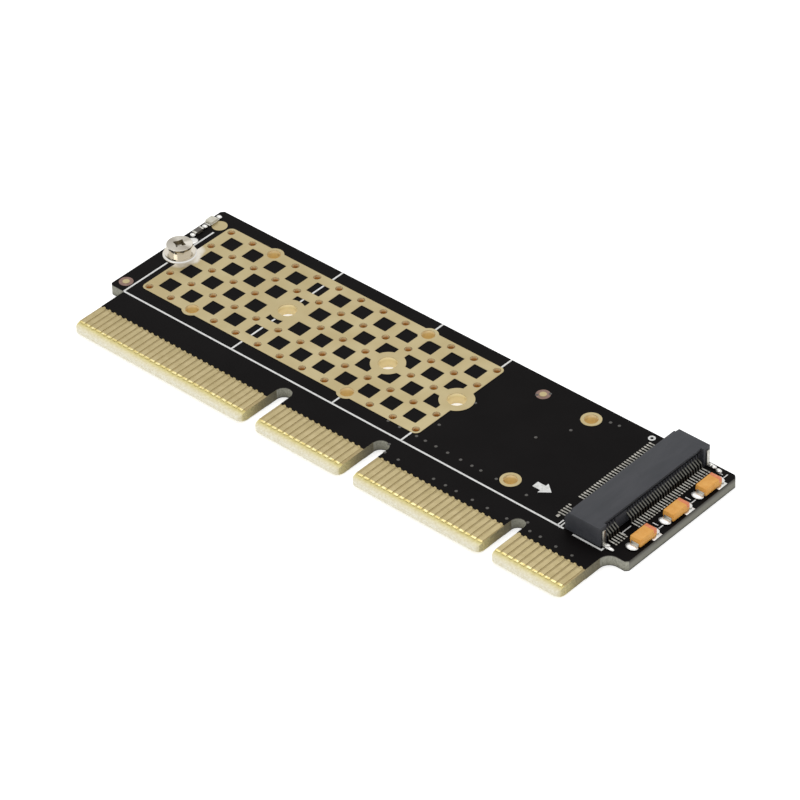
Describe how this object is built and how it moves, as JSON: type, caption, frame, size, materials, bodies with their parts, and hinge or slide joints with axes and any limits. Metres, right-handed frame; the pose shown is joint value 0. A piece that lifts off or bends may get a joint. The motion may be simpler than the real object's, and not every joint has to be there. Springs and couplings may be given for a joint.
{
  "type": "solid-state drive adapter card",
  "caption": "Slim adapter circuit board with a bevelled contact tongue, a drive socket, a drive standoff and a gold thermal lattice with vias.",
  "frame": {"origin": "middle of the card's outline, on its underside", "axes": "+X along the card towards the drive socket, +Y from the contact tongue to the far edge, +Z out of the component side"},
  "size_m": [0.09, 0.0316, 0.0045],
  "materials": {
    "laminate": "satin solder mask",
    "contact_gold": "gold plated",
    "land_gold": "gold plated",
    "standoff_metal": "turned and plated",
    "socket_plastic": "matte",
    "socket_contact": "tin plated",
    "tinned_metal": "tin plated",
    "solder": "bright solder",
    "capacitor_resin": "moulded resin",
    "lamp_resin": "plain",
    "lamp_lens": "clear resin",
    "resistor_body": "plain",
    "white_ink": "printed"
  },
  "bodies": {
    "root": {"circuit_board": "laminate", "edge_contacts_top": "contact_gold", "edge_contacts_bottom": "contact_gold", "thermal_lattice": "land_gold", "pin_hole_lands": "land_gold", "standoff_land": "land_gold", "fiducials": "land_gold", "test_land": "land_gold", "drive_standoff": "standoff_metal", "socket_housing": "socket_plastic", "socket_upper_contacts": "socket_contact", "socket_lower_contacts": "socket_contact", "socket_hold_down_near": "tinned_metal", "socket_hold_down_far": "tinned_metal", "capacitor_body_1": "capacitor_resin", "capacitor_body_2": "capacitor_resin", "capacitor_body_3": "capacitor_resin", "capacitor_terminals": "tinned_metal", "capacitor_solder": "solder", "lamp_body": "lamp_resin", "lamp_lens": "lamp_lens", "lamp_ends": "tinned_metal", "resistor_body": "resistor_body", "resistor_ends": "tinned_metal", "printed_lines": "white_ink"}
  },
  "joints": []
}
